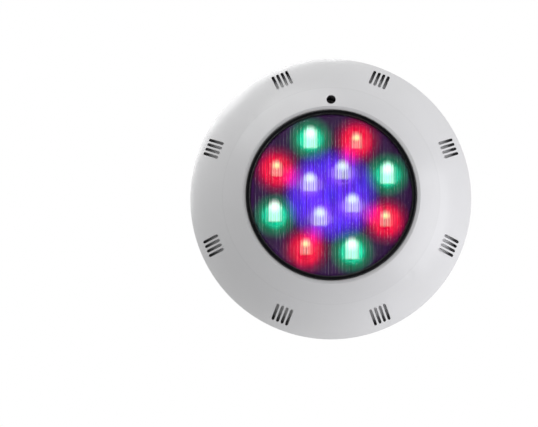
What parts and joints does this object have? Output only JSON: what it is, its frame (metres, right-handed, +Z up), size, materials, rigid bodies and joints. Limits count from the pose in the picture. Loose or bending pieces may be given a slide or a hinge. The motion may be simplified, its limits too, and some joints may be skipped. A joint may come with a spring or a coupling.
{
  "type": "underwater pool light",
  "caption": "Surface-mounted underwater pool light: domed vented face plate, sealed LED lamp behind fluted glass, wall bracket.",
  "frame": {"origin": "centre of the four wall screws on the bracket's back face", "axes": "+Z up, the wall is the plane y = 0 and the light shines towards -Y, +X is to the right as seen from the front"},
  "size_m": [0.29, 0.0715, 0.29],
  "materials": {
    "white_plastic": "semi-gloss white ABS",
    "bracket_plastic": "semi-gloss white ABS",
    "black_plastic": "satin black glass-filled plastic",
    "ring_plastic": "semi-gloss black plastic",
    "silicone": "dark silicone rubber",
    "lens_glass": "clear fluted glass",
    "optic_acrylic": "clear moulded acrylic",
    "reflector_plastic": "smoked dark grey moulded plastic",
    "led_green": "lit green LED",
    "led_red": "lit red LED",
    "led_blue": "lit blue LED",
    "stainless": "stainless steel",
    "brass": "turned brass",
    "aluminium": "plain aluminium",
    "board_white": "white solder mask",
    "board_green": "green solder mask",
    "pad_grey": "grey thermal pad",
    "copper_wire": "enamelled copper",
    "can_metal": "sleeved capacitor can",
    "chip_black": "moulded chip package",
    "connector_plastic": "natural nylon",
    "wire_sleeve": "silicone wire sleeve"
  },
  "bodies": {
    "bracket": {"wall_bracket": "bracket_plastic", "bracket_insert": "brass"},
    "lamp": {"rear_housing": "black_plastic", "lens_clamp_ring": "ring_plastic", "clamp_screws": "stainless", "lens_gasket": "silicone", "front_lens": "lens_glass", "reflector_plate": "reflector_plastic", "collimator_lenses": "optic_acrylic", "led_green": "led_green", "led_red": "led_red", "led_blue": "led_blue", "led_board": "board_white", "led_board_screws": "stainless", "thermal_pad": "pad_grey", "heat_sink": "aluminium", "heat_sink_screws": "stainless", "driver_board": "board_green", "driver_board_screws": "stainless", "driver_coil": "copper_wire", "driver_capacitors": "can_metal", "driver_chips": "chip_black", "terminal_block": "connector_plastic", "driver_header": "connector_plastic", "led_board_connector": "connector_plastic", "led_leads": "wire_sleeve", "gland_body": "black_plastic", "gland_washer": "silicone", "gland_lock_nut": "black_plastic", "gland_seal": "silicone", "gland_nut": "black_plastic", "face_plate": "white_plastic", "lug_screws": "stainless"},
    "screw_washer": {"locking_washer": "silicone"},
    "lock_screw": {"locking_screw": "stainless"}
  },
  "joints": [
    {"name": "lamp_pull_off", "type": "slide", "parent": "bracket", "child": "lamp", "axis": [0, -1, 0], "range_m": [0, 0.12]},
    {"name": "screw_advance", "type": "slide", "parent": "lamp", "child": "screw_washer", "axis": [0, -1, 0], "range_m": [0, 0.0088]},
    {"name": "screw_turn", "type": "hinge", "parent": "screw_washer", "child": "lock_screw", "pos_m": [0, -0.022, 0.0969], "axis": [0, -1, 0], "range_deg": [0, 3961]}
  ],
  "couplings": [
    {"joint": "screw_turn", "follows": "screw_advance", "rad_per_m": 7854}
  ]
}
